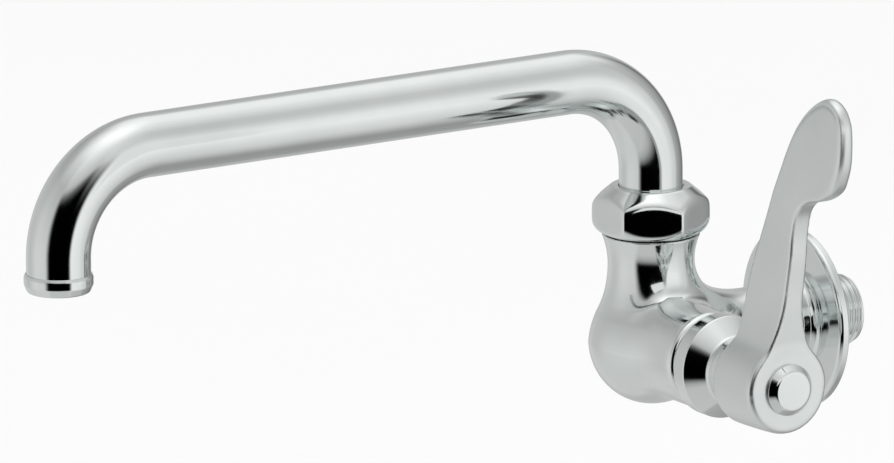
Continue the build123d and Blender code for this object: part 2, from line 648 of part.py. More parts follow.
# Cap: plain raised disc with a skirt that plugs the counterbore.
with BuildPart() as index_cap:
    skirt_r = COUNTERBORE_R - SLIP_GAP
    cap_r = COUNTERBORE_R + CAP_LIP
    cap_outline = [
        (HUB_FACE - CAP_SKIRT, skirt_r - CAP_WALL),
        (HUB_FACE - CAP_SKIRT, skirt_r),
        (HUB_FACE, skirt_r),
        (HUB_FACE, cap_r),
        (HUB_FACE + CAP_BASE, cap_r),
        (HUB_FACE + CAP_HEIGHT, cap_r - CAP_SLOPE),
        (HUB_FACE + CAP_HEIGHT, 0),
        (HUB_FACE + CAP_WALL, 0),
        (HUB_FACE + CAP_WALL, skirt_r - CAP_WALL),
    ]
    revolve(outline(cap_outline), axis=VALVE_AXIS)

# ---------------------------------------------------------------- swings with the spout

tube_end = LIP_Z + LIP_HEIGHT - LIP_SEAT
outlet_y = -STANDOFF - SPOUT_REACH

with BuildPart() as spout_tube:
    with BuildLine(Plane.YZ) as route:
        FilletPolyline(
            (-STANDOFF, COLLAR_TOP),
            (-STANDOFF, SPOUT_RISE),
            (outlet_y, SPOUT_RISE),
            (outlet_y, tube_end),
            radius=BEND_R,
        )
    with BuildSketch(across_spout(COLLAR_TOP)):
        Circle(TUBE_R)
        Circle(TUBE_BORE_R, mode=Mode.SUBTRACT)
    sweep(path=route.line)

with BuildPart() as spout_tail:
    spigot_r = TUBE_BORE_R - SEAL_GAP
    tail_outline = [
        (TAIL_BORE_R, TAIL_BOTTOM),
        (TAIL_R, TAIL_BOTTOM),
        (TAIL_R, COLLAR_BOTTOM),
        (COLLAR_R, COLLAR_BOTTOM),
        (COLLAR_R, COLLAR_TOP),
        (spigot_r, COLLAR_TOP),
        (spigot_r, COLLAR_TOP + SPIGOT_LENGTH),
        (TAIL_BORE_R, COLLAR_TOP + SPIGOT_LENGTH),
    ]
    revolve(outline(tail_outline), axis=SPOUT_AXIS)
    for bottom in TAIL_GROOVES:
        cut = hoop(bottom, bottom + GROOVE_WIDTH, groove_floor(NECK_BORE_R), NECK_BORE_R)
        revolve(cut, axis=SPOUT_AXIS, mode=Mode.SUBTRACT)


def tail_o_ring(bottom):
    """A seal in the tail's groove that starts at a height."""
    with BuildSketch(UPRIGHT) as section:
        with Locations((NECK_BORE_R - SEAL_GAP - O_RING_CORD_R, bottom + GROOVE_WIDTH / 2)):
            Circle(O_RING_CORD_R)
    return section.sketch


with BuildPart() as tail_o_ring_lower:
    revolve(tail_o_ring(TAIL_GROOVES[0]), axis=SPOUT_AXIS)

with BuildPart() as tail_o_ring_upper:
    revolve(tail_o_ring(TAIL_GROOVES[1]), axis=SPOUT_AXIS)

# Outlet ring: rounded bead round the tube's end, bored a little under the tube's own bore.
outlet_plane = Plane(origin=(0, outlet_y, LIP_Z), x_dir=(1, 0, 0), z_dir=(0, -1, 0))
with BuildPart() as outlet_ring:
    lip_r = TUBE_R + LIP_WALL
    lip_bore_r = TUBE_BORE_R - LIP_STEP
    ring_outline = [
        (lip_bore_r, 0),
        (lip_r - LIP_ROUND, 0),
        (lip_r, LIP_ROUND),
        (lip_r, LIP_HEIGHT - LIP_ROUND),
        (lip_r - LIP_ROUND, LIP_HEIGHT),
        (TUBE_R + SEAL_GAP, LIP_HEIGHT),
        (TUBE_R + SEAL_GAP, LIP_HEIGHT - LIP_SEAT),
        (lip_bore_r, LIP_HEIGHT - LIP_SEAT),
    ]
    revolve(outline(ring_outline, outlet_plane), axis=Axis((0, outlet_y, 0), (0, 0, 1)))

pieces = {
    "valve_body": valve_body,
    "wall_flange": wall_flange,
    "spout_nut": spout_nut,
    "nut_bearing_ring": nut_bearing_ring,
    "neck_washer": neck_washer,
    "bonnet": bonnet,
    "cartridge_housing": cartridge_housing,
    "housing_o_ring": housing_o_ring,
    "seat_seal": seat_seal,
    "fixed_disc": fixed_disc,
    "moving_disc": moving_disc,
    "spindle": spindle,
    "spindle_o_ring_inner": spindle_o_ring_inner,
    "spindle_o_ring_outer": spindle_o_ring_outer,
    "thrust_washer": thrust_washer,
    "spindle_clip": spindle_clip,
    "lever_handle": lever_handle,
    "lock_washer": lock_washer,
    "handle_screw": handle_screw,
    "index_cap": index_cap,
    "spout_tube": spout_tube,
    "spout_tail": spout_tail,
    "tail_o_ring_lower": tail_o_ring_lower,
    "tail_o_ring_upper": tail_o_ring_upper,
    "outlet_ring": outlet_ring,
}

for label, piece in pieces.items():
    piece.part.label = label
    export_step(piece.part, f"parts/{label}.step")
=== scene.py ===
import itertools
import json
import math

import bpy
import numpy as np
from mathutils import Matrix, Vector


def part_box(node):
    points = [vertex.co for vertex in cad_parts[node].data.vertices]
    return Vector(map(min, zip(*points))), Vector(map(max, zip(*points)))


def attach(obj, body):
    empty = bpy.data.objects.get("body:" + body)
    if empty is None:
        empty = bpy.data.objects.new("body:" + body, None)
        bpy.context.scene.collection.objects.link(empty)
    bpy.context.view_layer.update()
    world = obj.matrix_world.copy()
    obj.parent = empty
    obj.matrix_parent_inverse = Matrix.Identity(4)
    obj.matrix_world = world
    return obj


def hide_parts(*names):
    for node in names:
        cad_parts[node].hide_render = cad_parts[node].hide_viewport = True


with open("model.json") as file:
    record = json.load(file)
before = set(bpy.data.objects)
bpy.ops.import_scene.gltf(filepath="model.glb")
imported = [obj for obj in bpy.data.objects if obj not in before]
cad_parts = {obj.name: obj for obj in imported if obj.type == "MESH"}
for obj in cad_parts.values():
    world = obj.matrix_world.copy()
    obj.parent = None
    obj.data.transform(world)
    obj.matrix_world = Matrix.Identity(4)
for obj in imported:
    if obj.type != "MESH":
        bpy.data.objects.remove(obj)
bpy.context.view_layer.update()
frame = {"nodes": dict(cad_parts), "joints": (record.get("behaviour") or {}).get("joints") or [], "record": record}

# Lengths are in millimetres and shapes are drawn round the valve's centre, where the spout's
# upright axis and the valve's level axis cross. +X runs along the valve to the lever, +Y runs
# into the wall and +Z is up.
MM = 0.001
joints = {joint["name"]: joint for joint in frame["joints"]}
STANDOFF = -joints["spout_swing"]["pos_m"][1] / MM
CENTRE = np.array((0.0, -STANDOFF, 0.0))
ROUND = 144                      # facets round a turned piece
ARC_STEPS = 6                    # facets along a rounded corner
LONGEST_ROUND = 0.49             # part of a straight side that one rounded corner may use
FAR = 1e9                        # longer than any distance in the fields
OVERLAP = 1                      # run of one form of a field into the next


def span(node, axis):
    """Lowest and highest place of a CAD node along X, Y or Z, from the valve's centre."""
    low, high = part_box(node)
    number = "XYZ".index(axis)
    return low[number] / MM - CENTRE[number], high[number] / MM - CENTRE[number]


# Sizes read from the frame, with the tube's wall and the cap's rise
TUBE_WALL = 1.2
TUBE_R = span("spout_tube", "X")[1]
TUBE_BORE_R = TUBE_R - TUBE_WALL
RISE = span("spout_tube", "Z")[1] - TUBE_R
REACH = -span("outlet_ring", "Y")[0] - span("outlet_ring", "X")[1]
LIP_Z, LIP_TOP = span("outlet_ring", "Z")
LIP_R = span("outlet_ring", "X")[1]
NUT_BOTTOM, NUT_TOP = span("spout_nut", "Z")
NUT_FLATS = span("spout_nut", "Y")[1] - span("spout_nut", "Y")[0]
BONNET_START, BONNET_END = span("bonnet", "X")
BONNET_RING_R = span("bonnet", "Z")[1]
HUB_R = span("lever_handle", "Y")[1]
CAP_RISE = 2.9
HUB_FACE = span("index_cap", "X")[1] - CAP_RISE
CAP_R = span("index_cap", "Z")[1]
FLANGE_R = span("wall_flange", "X")[1]
FLANGE_BACK = span("wall_flange", "Y")[1]
FLANGE_FRONT = span("wall_flange", "Y")[0]
SHANK_END = span("valve_body", "Y")[1]

# ------------------------------------------------------------------------------ mesh tools


def piece(name, points, faces, normals, finish, body, slot, *replaced):
    """A smooth mesh that rides on a body and stands for CAD nodes."""
    mesh = bpy.data.meshes.new(name)
    mesh.from_pydata(((points + CENTRE) * MM).tolist(), [], [list(face) for face in faces])
    mesh.polygons.foreach_set("use_smooth", [True] * len(mesh.polygons))
    if normals is not None:
        mesh.normals_split_custom_set_from_vertices(normals.tolist())
    mesh.materials.append(finish)
    made = bpy.data.objects.new(name, mesh)
    bpy.context.scene.collection.objects.link(made)
    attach(made, body)
    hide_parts(*replaced)


def rotation(angle):
    """Matrix that turns a row vector by an angle."""
    return np.array(((math.cos(angle), math.sin(angle)), (-math.sin(angle), math.cos(angle))))


def rounded(corners):
    """A closed outline whose corners (along, radius, round) become arcs: points and normals."""
    spots = np.array([corner[:2] for corner in corners], float)
    rounds = [corner[2] for corner in corners]
    after = np.roll(spots, -1, 0)
    if np.sum(spots[:, 0] * after[:, 1] - after[:, 0] * spots[:, 1]) < 0:
        spots, rounds = spots[::-1], rounds[::-1]
    points, normals = [], []
    for i, (spot, wanted) in enumerate(zip(spots, rounds)):
        to_spot = spot - spots[i - 1]
        onward = spots[(i + 1) % len(spots)] - spot
        lengths = np.hypot(*to_spot), np.hypot(*onward)
        first, last = to_spot / lengths[0], onward / lengths[1]
        turn = math.atan2(first[0] * last[1] - first[1] * last[0], first @ last)
        reach = min(wanted * abs(math.tan(turn / 2)), LONGEST_ROUND * min(lengths))
        for step in range(ARC_STEPS + 1) if wanted else (ARC_STEPS / 2,):
            angle = turn * step / ARC_STEPS
            heading = first @ rotation(angle)
            half = first @ rotation(angle / 2)
            chord = 0.0 if not wanted else reach * math.sin(angle / 2) / math.sin(turn / 2)
            start = spot - first * reach
            points.append(start + half * chord * 2 * math.cos(turn / 2))
            normals.append((heading[1], -heading[0]))
    return np.array(points), np.array(normals)


def turned(corners, axis, filled=False):
    """A closed outline (along, radius, round) turned round a line along X, Y or Z.

    A filled one starts and ends on that line, where its two ends close as fans.
    """
    outline, slopes = rounded(corners)
    angle = np.linspace(0, 2 * math.pi, ROUND, endpoint=False)
    across = np.stack((np.cos(angle), np.sin(angle)), 1)
    order = {"X": (0, 1, 2), "Y": (1, 2, 0), "Z": (2, 0, 1)}[axis]

    def spread(pair):
        """A ring of the outline's (along, radius), all the way round the line."""
        ring = np.empty((ROUND, 3))
        ring[:, order[0]] = pair[0]
        ring[:, order[1]] = pair[1] * across[:, 0]
        ring[:, order[2]] = pair[1] * across[:, 1]
        return ring

    if filled:
        ends, outline = outline[[0, -1]] * (1, 0), outline[1:-1]
        end_slopes, slopes = np.sign(slopes[[0, -1]]) * (1, 0), slopes[1:-1]
    points = np.concatenate([spread(pair) for pair in outline])
    normals = np.concatenate([spread(pair) for pair in slopes])
    faces = lattice(len(outline), ROUND, not filled)[:, ::-1].tolist()
    if filled:
        first, last = len(points), len(points) + 1
        points = np.concatenate((points, spread(ends[0])[:1], spread(ends[1])[:1]))
        normals = np.concatenate((normals, spread(end_slopes[0])[:1], spread(end_slopes[1])[:1]))
        rim = first - ROUND
        for here in range(ROUND):
            after = (here + 1) % ROUND
            faces += [(here, after, first), (last, rim + after, rim + here)]
    return points, faces, normals


def lattice(rows, columns, closed):
    """Quads of a lattice whose columns close on themselves, and its rows too where closed."""
    row = np.arange(rows if closed else rows - 1)[:, None]
    column = np.arange(columns)[None, :]
    next_row = (row + 1) % rows
    next_column = (column + 1) % columns
    quads = np.stack(
        (
            row * columns + column,
            row * columns + next_column,
            next_row * columns + next_column,
            next_row * columns + column,
        ),
        -1,
    )
    return quads.reshape(-1, 4)


def smooth_min(a, b, width):
    """The smaller of two distances, with the crease between them rounded."""
    share = np.maximum(width - np.abs(a - b), 0) / width
    return np.minimum(a, b) - share**3 * width / 6


def smooth_max(a, b, width):
    """The larger of two distances, with the edge between them rounded."""
    return -smooth_min(-a, -b, width)


def gradient(field, points, reach):
    """Slope of a distance field, from two readings along each axis."""
    slope = np.empty_like(points)
    for axis in range(3):
        step = np.zeros(3)
        step[axis] = reach
        slope[:, axis] = (field(points + step) - field(points - step)) / (2 * reach)
    return slope


SETTLING_TURNS = 10              # moves of a skin's points onto its surface
EVENING_TURNS = (2, 4, 6)        # those after which each point moves towards its neighbours
SETTLING_REACH = 0.05            # reach of the readings that steer a move
LEAST_SLOPE = 0.05               # least square of a slope that a move is divided by


def skin(field, low, high, step, blur=0.15):
    """Quads over the surface where a distance field is zero, and the surface's normals.

    Each cell of a lattice from low to high that the surface crosses holds one point, which
    settles onto the surface. The normals are read over the reach of blur.
    """
    axes = [np.arange(a, b + step, step) for a, b in zip(low, high)]
    grid = np.stack(np.meshgrid(*axes, indexing="ij"), -1)
    shape = grid.shape[:3]
    inside = (field(grid.reshape(-1, 3)) < 0).reshape(shape)
    count = np.zeros([size - 1 for size in shape], int)
    for corner in itertools.product((0, 1), repeat=3):
        part = tuple(slice(c, size - 1 + c) for c, size in zip(corner, shape))
        count += inside[part]
    crossed = (count > 0) & (count < 8)
    number = np.full(crossed.shape, -1)
    number[crossed] = np.arange(crossed.sum())
    points = grid[:-1, :-1, :-1][crossed] + step / 2
    faces = []
    for axis in range(3):
        order = (axis, (axis + 1) % 3, (axis + 2) % 3)
        solid, cell = inside.transpose(order), number.transpose(order)
        change = solid[:-1, 1:-1, 1:-1] != solid[1:, 1:-1, 1:-1]
        i, j, k = np.nonzero(change)
        j, k = j + 1, k + 1
        round_edge = ((j - 1, k - 1), (j, k - 1), (j, k), (j - 1, k))
        quad = np.stack([cell[i, row, column] for row, column in round_edge], 1)
        leaves = solid[i, j, k]
        faces.append(np.where(leaves[:, None], quad, quad[:, ::-1]))
    faces = np.concatenate(faces)
    pairs = np.concatenate([faces[:, (i, (i + 1) % 4)] for i in range(4)])
    for turn in range(SETTLING_TURNS):
        slope = gradient(field, points, SETTLING_REACH)
        length = np.maximum((slope**2).sum(1), LEAST_SLOPE)
        points = points - slope * (field(points) / length)[:, None]
        if turn in EVENING_TURNS:
            total, hits = np.zeros_like(points), np.zeros(len(points))
            np.add.at(total, pairs[:, 0], points[pairs[:, 1]])
            np.add.at(hits, pairs[:, 0], 1)
            points = (points + total / hits[:, None]) / 2
    normals = gradient(field, points, blur)
    normals /= np.linalg.norm(normals, axis=1)[:, None]
    return points, faces, normals


def through(points, steps):
    """A smooth open curve through points, with steps from each to the next."""
    spots = np.array(points, float)
    slopes = np.gradient(spots, axis=0)
    t = np.linspace(0, 1, steps, endpoint=False)[:, None]
    runs = []
    for a, b, m, n in zip(spots[:-1], spots[1:], slopes[:-1], slopes[1:]):
        runs.append(
            (2 * t**3 - 3 * t**2 + 1) * a
            + (t**3 - 2 * t**2 + t) * m
            + (3 * t**2 - 2 * t**3) * b
            + (t**3 - t**2) * n
        )
    return np.concatenate(runs + [spots[-1:]])


def outline_distance(u, v, outline):
    """Distance to a closed outline of straight sides, less than zero inside it."""
    nearest = np.full(len(u), FAR)
    inside = np.zeros(len(u), bool)
    for (x0, y0), (x1, y1) in zip(outline, np.roll(outline, -1, 0)):
        ex, ey = x1 - x0, y1 - y0
        t = np.clip(((u - x0) * ex + (v - y0) * ey) / (ex * ex + ey * ey), 0, 1)
        nearest = np.minimum(nearest, (u - x0 - t * ex) ** 2 + (v - y0 - t * ey) ** 2)
        if y0 != y1:
            inside ^= ((y0 > v) != (y1 > v)) & (u < (v - y0) * ex / (y1 - y0) + x0)
    return np.where(inside, -1, 1) * np.sqrt(nearest)


# ------------------------------------------------------------------------------ finishes


class Channel:
    """A socket in a finish's nodes. Arithmetic on channels adds Math nodes."""

    def __init__(self, finish, socket):
        self.finish = finish
        self.socket = socket

    def _math(self, operation, first, second):
        return self.finish.add("ShaderNodeMath", {"operation": operation}, {0: first, 1: second})

    def __add__(self, other):
        return self._math("ADD", self, other)

    __radd__ = __add__

    def __mul__(self, other):
        return self._math("MULTIPLY", self, other)

    __rmul__ = __mul__


class Finish:
    """A material on one principled shader, whose varying inputs are written as expressions."""

    def __init__(self, name, **fixed):
        self.material = bpy.data.materials.new(name)
        self.material.use_nodes = True
        self.nodes = self.material.node_tree.nodes
        self.links = self.material.node_tree.links
        self.shader = self.nodes["Principled BSDF"]
        for socket, value in fixed.items():
            self.shader.inputs[socket.replace("_", " ")].default_value = value
        self.place = self.add("ShaderNodeTexCoord", output="Object")

    def feed(self, socket, value):
        """Link a channel to a socket, or give the socket a value."""
        if isinstance(value, Channel):
            self.links.new(value.socket, socket)
        else:
            socket.default_value = value

    def add(self, kind, settings=None, inputs=None, output=0):
        """One node with its settings, then the values or links of its sockets."""
        node = self.nodes.new(kind)
        for name, value in (settings or {}).items():
            setattr(node, name, value)
        for socket, value in (inputs or {}).items():
            self.feed(node.inputs[socket], value)
        return Channel(self, node.outputs[output])

    def stretched(self, scale):
        """Object coordinates with their own scale along X, Y and Z, in cycles a metre."""
        return self.add("ShaderNodeMapping", inputs={"Vector": self.place, "Scale": scale})

    def noise(self, scale, detail=2.0, rough=0.5):
        """Noise from 0 to 1, with its cycles a metre, or one number for each axis."""
        place = self.stretched(scale) if isinstance(scale, tuple) else self.place
        size = 1.0 if isinstance(scale, tuple) else scale
        return self.add(
            "ShaderNodeTexNoise",
            inputs={"Vector": place, "Scale": size, "Detail": detail, "Roughness": rough},
            output="Fac",
        )

    def blend(self, factor, first, second):
        """A colour between two colours."""
        return self.add(
            "ShaderNodeMix", {"data_type": "RGBA"}, {0: factor, 6: first, 7: second}, output=2
        )

    def set(self, **inputs):
        """Feed inputs of the shader that change over the surface."""
        for socket, value in inputs.items():
            self.feed(self.shader.inputs[socket.replace("_", " ")], value)

    def relief(self, height, strength, depth):
        """Bump from a height, whose full range is a depth in metres."""
        bump = self.add(
            "ShaderNodeBump", inputs={"Strength": strength, "Distance": depth, "Height": height}
        )
        self.feed(self.shader.inputs["Normal"], bump)


def shade(red, green, blue):
    """A colour with its alpha."""
    return (red, green, blue, 1.0)


CHROME = shade(0.80, 0.83, 0.82)
CHROME_DEEP = shade(0.71, 0.745, 0.74)
CLOUDS = 55.0                    # cycles a metre
LINE_GLOSS, CLOUD_GLOSS = 0.6, 0.4
LINE_RELIEF = 0.12               # height of the buffing lines beside the wave's
PLATE_RELIEF = 0.5


def plated(name, grain, roughness, spread, wave, depth):
    """Chrome plate: buffing lines along one axis, soft clouding and a slow wave in the metal.

    grain holds the lines' cycles a metre along each axis, wave the wave's. The roughness
    grows by up to spread, and depth is the relief's in metres.
    """
    finish = Finish(name, Metallic=1.0)
    lines = finish.noise(grain, detail=3.0, rough=0.6)
    cloud = finish.noise(CLOUDS, detail=3.0, rough=0.55)
    finish.set(
        Base_Color=finish.blend(cloud, CHROME, CHROME_DEEP),
        Roughness=roughness + spread * (LINE_GLOSS * lines + CLOUD_GLOSS * cloud),
    )
    height = finish.noise(wave, detail=1.0) + LINE_RELIEF * lines
    finish.relief(height, PLATE_RELIEF, depth)
    return finish.material


drawn_chrome = plated("drawn_tube_chrome", (2600.0, 60.0, 60.0), 0.05, 0.08, 90.0, 0.00006)
cast_chrome = plated("cast_body_chrome", (900.0, 900.0, 900.0), 0.05, 0.09, 110.0, 0.00012)
turned_chrome = plated("turned_chrome", (4000.0, 300.0, 300.0), 0.05, 0.08, 140.0, 0.00004)
satin_chrome = plated("lever_satin_chrome", (1800.0, 1800.0, 90.0), 0.23, 0.15, 100.0, 0.00012)

# ------------------------------------------------------------------------------ cast body

BELLY_R, BELLY_DROP = 18.5, 0.6
WAIST_R, WAIST_Z = 12.605, 22.0
FLARE_R, FLARE_Z = 14.8, 32.8
BOSS_R, BOSS_END = 14.7, 33.5
ARM_R, ARM_ROOT_R, ARM_ROOT, ARM_STRAIGHT = 11.0, 14.0, 12.5, 33.0
ARM_END = STANDOFF + 0.3         # where the shank takes over
WATERWAY_R = 6.2
NECK_THREAD_R, NECK_BORE_R, NECK_FLOOR, NECK_TOP = 13.105, 8.605, 13.0, 39.4
SEAT_HOLE_R, SEAT_X = 4.2, 9.0
CHAMBER_R, CHAMBER_END, BONNET_THREAD_R = 10.9, 21.0, 12.7
PORT_R, PORT_FOOT, PORT_TOP = 3.6, np.array((13.0, 0.0, 7.5)), np.array((2.0, 0.0, 22.0))
NECK_TO_BOSS, BELLY_TO_BOSS = 7.0, 16.0      # widths of the cast blends
NECK_TO_ARM, BELLY_TO_ARM = 20.0, 7.0
BLEND_RISE = 12.0                # height over which one width turns into the other
ARM_BLEND_FOOT = -4.0
NECK_EDGE, BOSS_EDGE, ROOT_EDGE, ARM_EDGE, BORE_EDGE = 0.8, 5.0, 8.0, 0.4, 0.3
BODY_STEP = 0.62
waist_rise = WAIST_Z + BELLY_DROP
waist_round = (WAIST_R**2 + waist_rise**2 - BELLY_R**2) / (2 * (BELLY_R - WAIST_R))
flare_step, flare_rise = FLARE_R - WAIST_R, FLARE_Z - WAIST_Z
flare_round = (flare_step**2 + flare_rise**2) / (2 * flare_step)
arm_step, arm_run = ARM_ROOT_R - ARM_R, ARM_STRAIGHT - ARM_ROOT
arm_round = (arm_step**2 + arm_run**2) / (2 * arm_step)


def body_hollow(points):
    """Distance to the body's inside: swivel bore, valve chamber, port and inlet waterway."""
    x, y, z = points.T
    valve_r = np.hypot(y, z)
    port_run = PORT_TOP - PORT_FOOT
    share = np.clip((points - PORT_FOOT) @ port_run / (port_run @ port_run), 0, 1)
    parts = (
        np.maximum(np.hypot(x, y) - NECK_BORE_R, NECK_FLOOR - z),
        np.maximum(valve_r - SEAT_HOLE_R, np.maximum(-x, x - SEAT_X - OVERLAP)),
        np.maximum(valve_r - CHAMBER_R, SEAT_X - x),
        np.maximum(valve_r - BONNET_THREAD_R, CHAMBER_END - x),
        np.linalg.norm(points - PORT_FOOT - share[:, None] * port_run, axis=1) - PORT_R,
        np.maximum(np.hypot(x, z) - WATERWAY_R, -WATERWAY_R - y),
    )
    return np.minimum.reduce(parts)


def body_field(points):
    """Distance to the cast body: belly, waisted neck, side boss and rear arm, all blended."""
    x, y, z = points.T
    r = np.hypot(x, y)
    belly = np.hypot(r, z + BELLY_DROP) - BELLY_R
    waist_x = WAIST_R + waist_round
    waist = waist_round - np.hypot(np.minimum(r, waist_x) - waist_x, z - WAIST_Z)
    flare_x = WAIST_R + flare_round
    flare = flare_round - np.hypot(np.minimum(r, flare_x) - flare_x, z - WAIST_Z)
    above = (z + BELLY_DROP) * waist_x > r * waist_rise
    trunk = np.where(z > WAIST_Z, flare, np.where(above, waist, belly))
    trunk = smooth_max(trunk, z - FLARE_Z, NECK_EDGE)
    boss = smooth_max(np.hypot(y, z) - BOSS_R, x - BOSS_END, BOSS_EDGE)
    boss = smooth_max(boss, -x, ROOT_EDGE)
    taper = np.clip(ARM_STRAIGHT - y, 0, arm_run)
    arm_r = ARM_R + arm_round - np.sqrt(arm_round**2 - taper**2)
    arm = smooth_max(np.hypot(x, z) - arm_r, y - ARM_END, ARM_EDGE)
    arm = smooth_max(arm, -y, ROOT_EDGE)
    side = np.clip(1 - np.abs(z) / BLEND_RISE, 0, 1)
    crown = smooth_min(trunk, boss, NECK_TO_BOSS + (BELLY_TO_BOSS - NECK_TO_BOSS) * side)
    top = np.clip((z - ARM_BLEND_FOOT) / BLEND_RISE, 0, 1)
    casting = smooth_min(crown, arm, BELLY_TO_ARM + (NECK_TO_ARM - BELLY_TO_ARM) * top)
    thread = np.maximum(r - NECK_THREAD_R, np.maximum(FLARE_Z - OVERLAP - z, z - NECK_TOP))
    return smooth_max(np.minimum(casting, thread), -body_hollow(points), BORE_EDGE)


body_box = (-20, -20, -20), (35, STANDOFF + 1.5, NECK_TOP + 1)
body_skin = skin(body_field, *body_box, BODY_STEP)
piece("cast_body", *body_skin, cast_chrome, "faucet_body", "polished_chrome", "valve_body")

# ------------------------------------------------------------------------------ shank thread

THREAD_PITCH = 1.814
THREAD_DEPTH = 0.7
THREAD_LEAD = 1.2                # run over which the thread fades in and the end is chamfered
TOOTH_SLOPE, TOOTH_FLAT = 1.3, 0.15
SHANK_R = 10.67
SHANK_CHAMFER = 0.6
SHANK_ROWS = 150


def shank():
    """Threaded end behind the flange, with its water hole."""
    angle = np.linspace(0, 2 * math.pi, ROUND, endpoint=False)
    rows = [np.full(ROUND, WATERWAY_R), np.full(ROUND, WATERWAY_R + SHANK_CHAMFER)]
    places = [SHANK_END - SHANK_CHAMFER, SHANK_END]
    for y in np.linspace(ARM_END, SHANK_END, SHANK_ROWS)[::-1]:
        tooth = np.abs((y / THREAD_PITCH - angle / (2 * math.pi)) % 1 - 0.5) * 2
        ease = np.clip(min(y - ARM_END, SHANK_END - y) / THREAD_LEAD, 0, 1)
        crest = SHANK_R - THREAD_DEPTH * np.clip(1 - (SHANK_END - y) / THREAD_LEAD, 0, 1)
        groove = np.clip(tooth * TOOTH_SLOPE - TOOTH_FLAT, 0, 1)
        rows.append(crest - THREAD_DEPTH * ease * groove)
        places.append(y)
    rows += [np.full(ROUND, WATERWAY_R)]
    places += [ARM_END]
    points = np.concatenate(
        [
            np.stack((row * np.cos(angle), np.full(ROUND, y), row * np.sin(angle)), 1)
            for row, y in zip(rows, places)
        ]
    )
    return points, lattice(len(rows), ROUND, True), None


piece("inlet_shank", *shank(), turned_chrome, "faucet_body", "polished_chrome", "valve_body")

# ------------------------------------------------------------------------------ wall flange

ARM_HOLE_R = ARM_R + 0.05
PLATE_FRONT = FLANGE_BACK - 3.2
COLLAR_R = 14.0
flange = [
    (FLANGE_BACK, ARM_HOLE_R, 0.2),
    (FLANGE_BACK, FLANGE_R, 0.5),
    (PLATE_FRONT, FLANGE_R, 1.5),
    (PLATE_FRONT, COLLAR_R, 3.5),
    (FLANGE_FRONT, COLLAR_R, 1.2),
    (FLANGE_FRONT, ARM_HOLE_R, 0.3),
]
flange_form = turned(flange, "Y")
piece("flange", *flange_form, turned_chrome, "faucet_body", "polished_chrome", "wall_flange")

# ------------------------------------------------------------------------------ spout nut

NUT_TOP_R = 11.8
NUT_HOLE_R = TUBE_R + 0.13
NUT_ROOF = 3.0                   # thickness of metal above the thread
NUT_THREAD_R = 13.155
NUT_SLOPE_DROP, NUT_FOOT_ROUND = 5.2, 4.8
NUT_CORNER_SPARE = 0.1           # how far the turned form stands outside the corners
NUT_SHOULDER_EDGE, NUT_CORNER_EDGE, NUT_TOP_EDGE, NUT_HOLE_EDGE = 2.2, 2.0, 0.6, 0.5
NUT_STEP = 0.42


def nut_field(points):
    """Distance to the nut: six flats, a sloped top, a rounded foot and its hole."""
    x, y, z = points.T
    r = np.hypot(x, y)
    flats = np.full(len(r), -FAR)
    for side in range(6):
        angle = math.radians(30 + 60 * side)
        flats = np.maximum(flats, x * math.cos(angle) + y * math.sin(angle) - NUT_FLATS / 2)
    corner_r = NUT_FLATS / math.sqrt(3) + NUT_CORNER_SPARE
    slope = math.atan2(corner_r - NUT_TOP_R, NUT_SLOPE_DROP)
    top = (r - NUT_TOP_R) * math.cos(slope) + (z - NUT_TOP) * math.sin(slope)
    foot_out = np.maximum(r - corner_r + NUT_FOOT_ROUND, 0)
    foot_down = np.minimum(z - NUT_BOTTOM - NUT_FOOT_ROUND, 0)
    foot = np.hypot(foot_out, foot_down) - NUT_FOOT_ROUND
    turned_form = smooth_max(top, np.maximum(foot, NUT_BOTTOM - z), NUT_SHOULDER_EDGE)
    solid = smooth_max(flats, turned_form, NUT_CORNER_EDGE)
    solid = smooth_max(solid, z - NUT_TOP, NUT_TOP_EDGE)
    hole = np.where(z > NUT_TOP - NUT_ROOF, NUT_HOLE_R, NUT_THREAD_R) - r
    return smooth_max(solid, hole, NUT_HOLE_EDGE)


nut_box = (-19, -17, NUT_BOTTOM - 1), (19, 17, NUT_TOP + 1)
nut_skin = skin(nut_field, *nut_box, NUT_STEP)
piece("hex_nut", *nut_skin, turned_chrome, "faucet_body", "polished_chrome", "spout_nut")

# ------------------------------------------------------------------------------ spout

BEND_R = 30.0
BEND_ROWS, LEG_ROWS = 40, 6
LIP_SEAT = LIP_TOP - 3.6         # end of the tube inside the outlet's ring


def spout():
    """The bent tube: a wall of two surfaces along its run."""
    start = span("spout_tube", "Z")[0]
    bend_z = RISE - BEND_R
    quarter = [(math.cos(a), math.sin(a)) for a in np.linspace(0, math.pi / 2, BEND_ROWS)]
    level_run = np.linspace(-BEND_R, BEND_R - REACH, BEND_ROWS)[1:-1]
    line = [((0, z), (0, 1)) for z in np.linspace(start, bend_z, LEG_ROWS, endpoint=False)]
    line += [((-BEND_R + BEND_R * c, bend_z + BEND_R * s), (-s, c)) for c, s in quarter]
    line += [((y, RISE), (-1, 0)) for y in level_run]
    line += [((BEND_R - REACH - BEND_R * s, bend_z + BEND_R * c), (-c, -s)) for c, s in quarter]
    line += [((-REACH, z), (0, -1)) for z in np.linspace(bend_z, LIP_SEAT, LEG_ROWS)[1:]]
    angle = np.linspace(0, 2 * math.pi, ROUND, endpoint=False)
    points, normals = [], []
    for radius, stations, side in ((TUBE_R, line, 1), (TUBE_BORE_R, line[::-1], -1)):
        for (y, z), (dy, dz) in stations:
            ring = np.stack((np.cos(angle), np.sin(angle) * dz, -np.sin(angle) * dy), 1)
            points.append(ring * radius + (0, y, z))
            normals.append(ring * side)
    points, normals = np.concatenate(points), np.concatenate(normals)
    return points, lattice(2 * len(line), ROUND, True), normals


piece("swing_tube", *spout(), drawn_chrome, "spout", "polished_chrome", "spout_tube")

